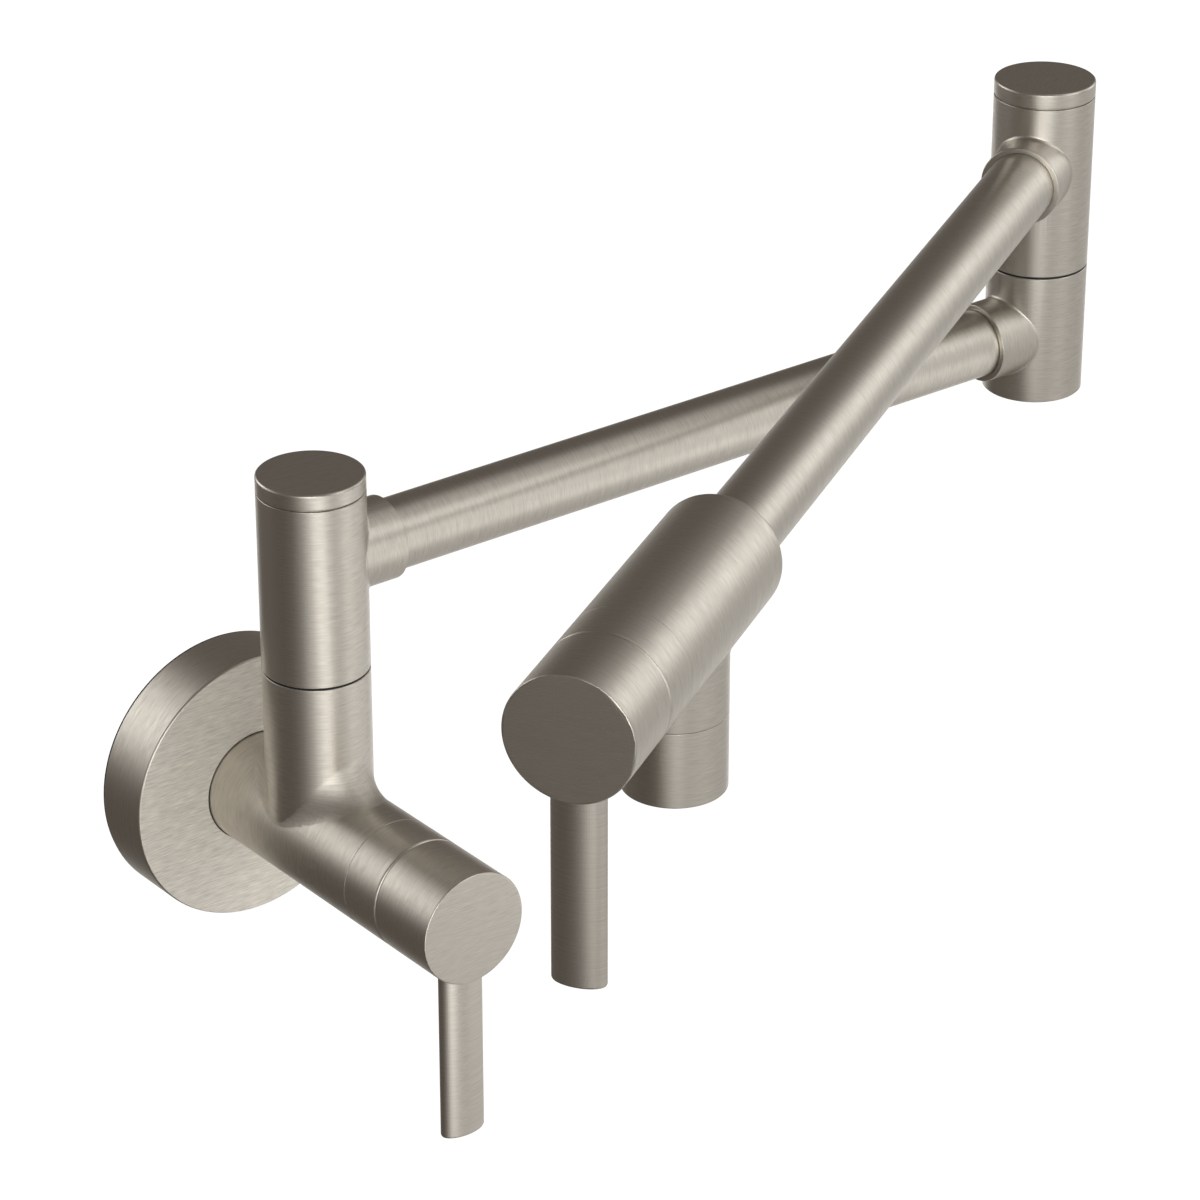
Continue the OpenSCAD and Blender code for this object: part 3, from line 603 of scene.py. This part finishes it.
class POT_FILLER_OT_trim_rings(bpy.types.Operator):
    """Turns the two trim rings between the valve bodies and the handles"""
    bl_idname = "pot_filler.trim_rings"
    bl_label = "Trim rings"

    def execute(self, context):
        edges = context.scene.edge_rounding
        wide, narrow, web_depth = 12.05 * MM, 8 * MM, 8.99 * MM
        for node, body, axis, way in (
            ("base_trim_ring", "wall_body", BASE, TO_ROOM),
            ("spout_trim_ring", "outer_arm", SPOUT, TO_SPOUT_HUB),
        ):
            back, front = reach_along(node, axis, way)
            web = back + web_depth
            bm = turn_profile([
                (wide, back, edges.hairline), (wide, web, 0), (narrow, web, 0),
                (narrow, front, edges.hairline), (BARREL_R, front, edges.lit_line),
                (BARREL_R, back, edges.hairline)], axis, way)
            finish_piece(bm, node, body, [(axis, way, BARREL_R)], UP)
        return {"FINISHED"}


class POT_FILLER_OT_hubs(bpy.types.Operator):
    """Finishes the two handle hubs, bored for the stem, the lever's stud and the hub screw"""
    bl_idname = "pot_filler.hubs"
    bl_label = "Handle hubs"

    def execute(self, context):
        for node, body, axis, way in (
            ("base_hub", "base_handle", BASE, TO_ROOM),
            ("spout_hub", "spout_handle", SPOUT, TO_SPOUT_HUB),
        ):
            finish_piece(
                copy_of(node), node, body, [(axis, way, BARREL_R), (axis, UP, HUB_BORE_R)], UP.cross(way))
        return {"FINISHED"}


class POT_FILLER_OT_levers(bpy.types.Operator):
    """Finishes the two oval levers, each seated round its hub"""
    bl_idname = "pot_filler.levers"
    bl_label = "Levers"

    def execute(self, context):
        for node, body, axis, way in (
            ("base_lever", "base_handle", BASE, TO_ROOM),
            ("spout_lever", "spout_handle", SPOUT, TO_SPOUT_HUB),
        ):
            lo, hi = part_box(node)
            middle = (lo + hi) / 2
            finish_piece(copy_of(node), node, body, [(middle, UP, LEVER_R)], UP.cross(way))
        return {"FINISHED"}


class POT_FILLER_OT_outlet_collar(bpy.types.Operator):
    """Turns the outlet's collar, threaded above and lipped below to hold the aerator"""
    bl_idname = "pot_filler.outlet_collar"
    bl_label = "Outlet collar"

    def execute(self, context):
        edges = context.scene.edge_rounding
        foot, top = reach_along("outlet_collar", SPOUT, UP)
        bore_wall, lip_wall, lip_h = 1.75 * MM, 3.05 * MM, 1 * MM
        bore, lip_r = NOZZLE_R - bore_wall, NOZZLE_R - lip_wall
        spigot_r, spigot_h = 10.05 * MM, 6 * MM
        bm = turn_profile([
            (spigot_r, top, edges.hairline), (spigot_r, top - spigot_h, 0), (bore, top - spigot_h, 0),
            (bore, foot + lip_h, 0), (lip_r, foot + lip_h, edges.hairline), (lip_r, foot, edges.seam),
            (NOZZLE_R, foot, edges.seam), (NOZZLE_R, top, edges.hairline)], SPOUT, UP)
        finish_piece(bm, "outlet_collar", "outer_arm", [(SPOUT, UP, NOZZLE_R)], ALONG_WALL)
        return {"FINISHED"}


class POT_FILLER_OT_inner_parts(bpy.types.Operator):
    """Gives each part inside the valves and swivels the finish of its material"""
    bl_idname = "pot_filler.inner_parts"
    bl_label = "Inner parts"

    def execute(self, context):
        looks = context.scene.inner_finishes
        finishes = {
            # Free-cutting brass, turned: a warm yellow with a soft sheen and faint tool marks
            "brass": turned_metal("Turned brass", looks.brass, 0.32, 0.3 * MM),
            # Stainless steel, pressed and tumbled: a cool grey with a fine haze
            "stainless_steel": turned_metal("Tumbled stainless steel", looks.steel, 0.38, 0.4 * MM),
            # Alumina, sintered and lapped: an ivory white, close to a mirror at a low angle
            "ceramic": moulded("Lapped alumina", looks.ceramic, 0.18, 0.4 * MM, 1.76),
            # EPDM rubber, compression moulded: a soft black with no clear highlight
            "black_rubber": moulded("Moulded EPDM rubber", looks.rubber, 0.6, 0.5 * MM, 1.52),
            # Acetal, injection moulded: a milky white with a waxy sheen
            "white_acetal": moulded("Moulded acetal", looks.acetal, 0.35, 0.6 * MM, 1.48),
            SLOT: turned_metal("Nickel plate", context.scene.nickel_finish.colour, 0.35, 0.4 * MM),
        }
        slots = {row["node"]: row["material_slot"] for row in frame["record"]["subparts"]}
        for name, node in frame["nodes"].items():
            for slot in node.material_slots:
                slot.material = finishes[slots[name]]
        return {"FINISHED"}


class POT_FILLER_OT_studio(bpy.types.Operator):
    """Sets the pale floor, the soft lamps, the surroundings and the camera"""
    bl_idname = "pot_filler.studio"
    bl_label = "Studio"

    def execute(self, context):
        scene = context.scene
        light = scene.studio_light
        set_camera(scene)
        floor = lay_floor(light)
        fill_world(scene, light)
        part_only = light_group("Lamps that leave out the floor", [floor], "EXCLUDE")
        base = light_group(
            "Lamps for the base", [bpy.data.objects["brushed_" + node] for node in BASE_PIECES], "INCLUDE")
        for name, lamp in LAMPS.items():
            hung = hang_lamp(name, *lamp)
            if name != FLOOR_LAMP:
                hung.light_linking.receiver_collection = base if lamp[0] == BASE_COLUMN else part_only
        scene.view_settings.view_transform = "Standard"
        return {"FINISHED"}


# The photograph's camera: its turn and tilt, its lens and sensor in mm, and its place from a point on the
# barrel's axis, as metres to the picture's right, up the picture and back from it
CAMERA_TURN, CAMERA_TILT = math.radians(-38.133), math.radians(26.247)
LENS, SENSOR = 135.05, 36
CAMERA_FROM, CAMERA_RIGHT, CAMERA_UP, CAMERA_BACK = Vector((0, -0.0486, 0)), 0.07496, 0.06110, 1.21166


def set_camera(scene):
    """Camera at the photograph's viewing angle, framed for a square picture."""
    turn, tilt = CAMERA_TURN, CAMERA_TILT
    right = Vector((math.cos(turn), math.sin(turn), 0))
    forward = Vector((-math.sin(turn) * math.cos(tilt), math.cos(turn) * math.cos(tilt), -math.sin(tilt)))
    above = right.cross(forward)
    data = bpy.data.cameras.new("Camera")
    data.lens = LENS
    data.sensor_width = SENSOR
    data.clip_start, data.clip_end = 0.05, 50
    camera = bpy.data.objects.new("Camera", data)
    scene.collection.objects.link(camera)
    place = CAMERA_FROM + right * CAMERA_RIGHT + above * CAMERA_UP - forward * CAMERA_BACK
    camera.matrix_world = Matrix.Translation(place) @ Matrix((right, above, -forward)).transposed().to_4x4()
    scene.camera = camera


def lay_floor(light):
    """A large pale floor, seen white where the camera looks past the part."""
    half_width = 12
    bm = bmesh.new()
    bmesh.ops.create_grid(bm, x_segments=1, y_segments=1, size=half_width)
    bmesh.ops.translate(bm, vec=(0, 0, light.floor_drop), verts=bm.verts)
    mesh = bpy.data.meshes.new("Floor")
    bm.to_mesh(mesh)
    bm.free()
    floor = bpy.data.objects.new("Floor", mesh)
    bpy.context.scene.collection.objects.link(floor)
    mesh.materials.append(pale_floor(light))
    return floor


# The stretch of floor that is the photograph's background: its middle, and how far from there its soft edge
# starts and ends
BACKDROP_MIDDLE, BACKDROP_EDGE = Vector((1.95, 2.28, 0)), (1.55, 2.05)

# Towards the right of the part the floor looks lighter: the direction, and where the change starts and ends
RIGHT_WAY, RIGHT_EDGE = (0.990, -0.141, 0), (-0.4, 0.45)


def pale_floor(light):
    """Pale matt paint, which the camera sees as plain white.

    Metal and glass see it white where the photograph's background is, a mid grey to the right of the part,
    and elsewhere as the top lamp lights it. White all round would take the dark left sides off the tubes.
    """
    material = new_material("Pale studio floor", light.floor)
    paint = add_node(material, "ShaderNodeBsdfDiffuse", {"Color": light.floor})
    place = add_node(material, "ShaderNodeTexCoord").outputs["Object"]
    centred = add_node(material, "ShaderNodeMapping", {
        "Vector": place, "Location": -BACKDROP_MIDDLE, "Scale": (1, 1, 0)})
    away = add_node(material, "ShaderNodeVectorMath", {0: centred.outputs[0]}, operation="LENGTH")
    backdrop = smooth_fade(material, away.outputs["Value"], BACKDROP_EDGE, (1, 0))
    side = add_node(material, "ShaderNodeVectorMath", {0: place, 1: RIGHT_WAY}, operation="DOT_PRODUCT")
    right = smooth_fade(material, side.outputs["Value"], RIGHT_EDGE, (0, light.floor_right))
    share = combine(material, "MAXIMUM", right, backdrop)
    rays = add_node(material, "ShaderNodeLightPath").outputs
    mirrored = combine(material, "MAXIMUM", rays["Is Glossy Ray"], rays["Is Transmission Ray"])
    mirrored = combine(material, "MULTIPLY", mirrored, share)
    seen = combine(material, "MAXIMUM", rays["Is Camera Ray"], mirrored)
    white = add_node(material, "ShaderNodeEmission", {"Color": (1, 1, 1, 1), "Strength": seen})
    mixed = add_node(material, "ShaderNodeAddShader", {0: paint.outputs[0], 1: white.outputs[0]})
    return cover(material, mixed.outputs[0])


def fill_world(scene, light):
    """Dim, even surroundings, which the camera sees as plain white."""
    world = bpy.data.worlds.new("Surroundings")
    world.use_nodes = True
    world.node_tree.nodes.clear()
    around = add_node(world, "ShaderNodeBackground", {"Color": light.world_colour, "Strength": light.world})
    backdrop = add_node(world, "ShaderNodeBackground", {"Color": (1, 1, 1, 1), "Strength": 1})
    path = add_node(world, "ShaderNodeLightPath")
    mixed = add_node(world, "ShaderNodeMixShader", {
        0: path.outputs["Is Camera Ray"], 1: around.outputs[0], 2: backdrop.outputs[0]})
    add_node(world, "ShaderNodeOutputWorld", {"Surface": mixed.outputs[0]})
    scene.world = world


# The pieces lit by the three small lamps near the base
BASE_PIECES = (
    "wall_flange", "base_valve_body", "base_trim_ring", "base_hub", "base_lever", "inner_head", "inner_cap",
    "inner_tube")

# What the lamps are aimed at, and the one lamp that also lights the floor
PART_MIDDLE, BASE_COLUMN = Vector((0.1, -0.12, 0.07)), Vector((0, -0.05, 0.06))
FLOOR_LAMP = "Top lamp"

# Soft lamps: what each is aimed at, turn from the camera towards the right and height in degrees, distance,
# width and height in metres, and brightness at its middle
LAMPS = {
    "Front lamp": (PART_MIDDLE, 3, 8, 1.7, 2.4, 2.1, 4.2),
    "Front right lamp": (PART_MIDDLE, 60, 10, 1.7, 1.9, 1.7, 1.75),
    "High right lamp": (PART_MIDDLE, 76, 38, 1.7, 1.9, 1.7, 1.8),
    "Right lamp": (PART_MIDDLE, 125, 14, 1.7, 1.9, 1.7, 1.75),
    "High rear right lamp": (PART_MIDDLE, 120, 38, 1.7, 1.9, 1.7, 0.4),
    FLOOR_LAMP: (PART_MIDDLE, 120, 65, 1.7, 1.9, 1.9, 0.55),
    "Rear left lamp": (PART_MIDDLE, 240, 18, 1.7, 1.9, 1.7, 2.2),
    "Left lamp": (PART_MIDDLE, 268, 14, 1.7, 1.9, 1.7, 0.8),
    "Column lamp": (BASE_COLUMN, 22, -25, 0.5, 0.4, 0.4, 2.1),
    "Low base lamp": (BASE_COLUMN, 80, -17, 0.6, 0.55, 0.45, 0.9),
    "Right base lamp": (BASE_COLUMN, 112, -25, 0.6, 0.6, 0.5, 0.4),
}


def hang_lamp(name, aim, turn, tilt, distance, width, height, brightness):
    """Hangs a soft lamp that faces its aim and fades towards its edge, as a large diffuser does."""
    data = bpy.data.lights.new(name, "AREA")
    data.shape = "ELLIPSE"
    data.size, data.size_y = width, height
    area = math.pi / 4 * width * height
    data.energy = brightness * math.pi * area
    data.use_nodes = True
    data.node_tree.nodes.clear()
    # The lamp's own coordinates run from 0 to 1 in both directions
    middle, middle_to_edge = (0.5, 0.5, 0), (0, 0.5)
    across = add_node(data, "ShaderNodeNewGeometry")
    away = add_node(data, "ShaderNodeVectorMath", {
        0: across.outputs["Parametric"], 1: middle}, operation="DISTANCE")
    fade = smooth_fade(data, away.outputs["Value"], middle_to_edge, (1, 0))
    glow = add_node(data, "ShaderNodeEmission", {"Strength": fade})
    add_node(data, "ShaderNodeOutputLight", {"Surface": glow.outputs[0]})
    lamp = bpy.data.objects.new(name, data)
    bpy.context.scene.collection.objects.link(lamp)
    compass, rise = CAMERA_TURN + math.radians(turn), math.radians(tilt)
    back = Vector((math.sin(compass) * math.cos(rise), -math.cos(compass) * math.cos(rise), math.sin(rise)))
    lamp.location = aim + back * distance
    lamp.rotation_mode = "QUATERNION"
    lamp.rotation_quaternion = (-back).to_track_quat("-Z", "Y")
    lamp.visible_camera = False
    return lamp


def light_group(name, members, state):
    """A collection for light linking: a lamp lights what is included, or everything but what is excluded."""
    group = bpy.data.collections.new(name)
    for member in members:
        group.objects.link(member)
    for link in group.collection_objects:
        link.light_linking.link_state = state
    return group


class POT_FILLER_PT_panel(bpy.types.Panel):
    """Lists the pieces of the pot filler and their finishes"""
    bl_idname = "POT_FILLER_PT_panel"
    bl_label = "Pot filler"
    bl_space_type = "VIEW_3D"
    bl_region_type = "UI"
    bl_category = "Pot filler"

    def draw(self, context):
        layout = self.layout
        for maker in MAKERS:
            layout.operator(maker.bl_idname)
        for group in GROUPS:
            box = layout.box()
            held = getattr(context.scene, group)
            for key in held.__annotations__:
                box.prop(held, key)


MAKERS = (
    POT_FILLER_OT_flange,
    POT_FILLER_OT_valve_bodies,
    POT_FILLER_OT_swivel_heads,
    POT_FILLER_OT_caps,
    POT_FILLER_OT_arm_tubes,
    POT_FILLER_OT_trim_rings,
    POT_FILLER_OT_hubs,
    POT_FILLER_OT_levers,
    POT_FILLER_OT_outlet_collar,
    POT_FILLER_OT_inner_parts,
    POT_FILLER_OT_studio,
)
GROUPS = {
    "nickel_finish": NickelFinish,
    "edge_rounding": EdgeRounding,
    "inner_finishes": InnerFinishes,
    "studio_light": StudioLight,
}


def register():
    for kind in (*GROUPS.values(), *MAKERS, POT_FILLER_PT_panel):
        bpy.utils.register_class(kind)
    for name, kind in GROUPS.items():
        setattr(bpy.types.Scene, name, PointerProperty(type=kind))


def unregister():
    for name in GROUPS:
        delattr(bpy.types.Scene, name)
    for kind in reversed((*GROUPS.values(), *MAKERS, POT_FILLER_PT_panel)):
        bpy.utils.unregister_class(kind)


def main():
    """Makes every piece in order."""
    register()
    for maker in MAKERS:
        group, name = maker.bl_idname.split(".")
        getattr(getattr(bpy.ops, group), name)()


if __name__ == "__main__":
    main()
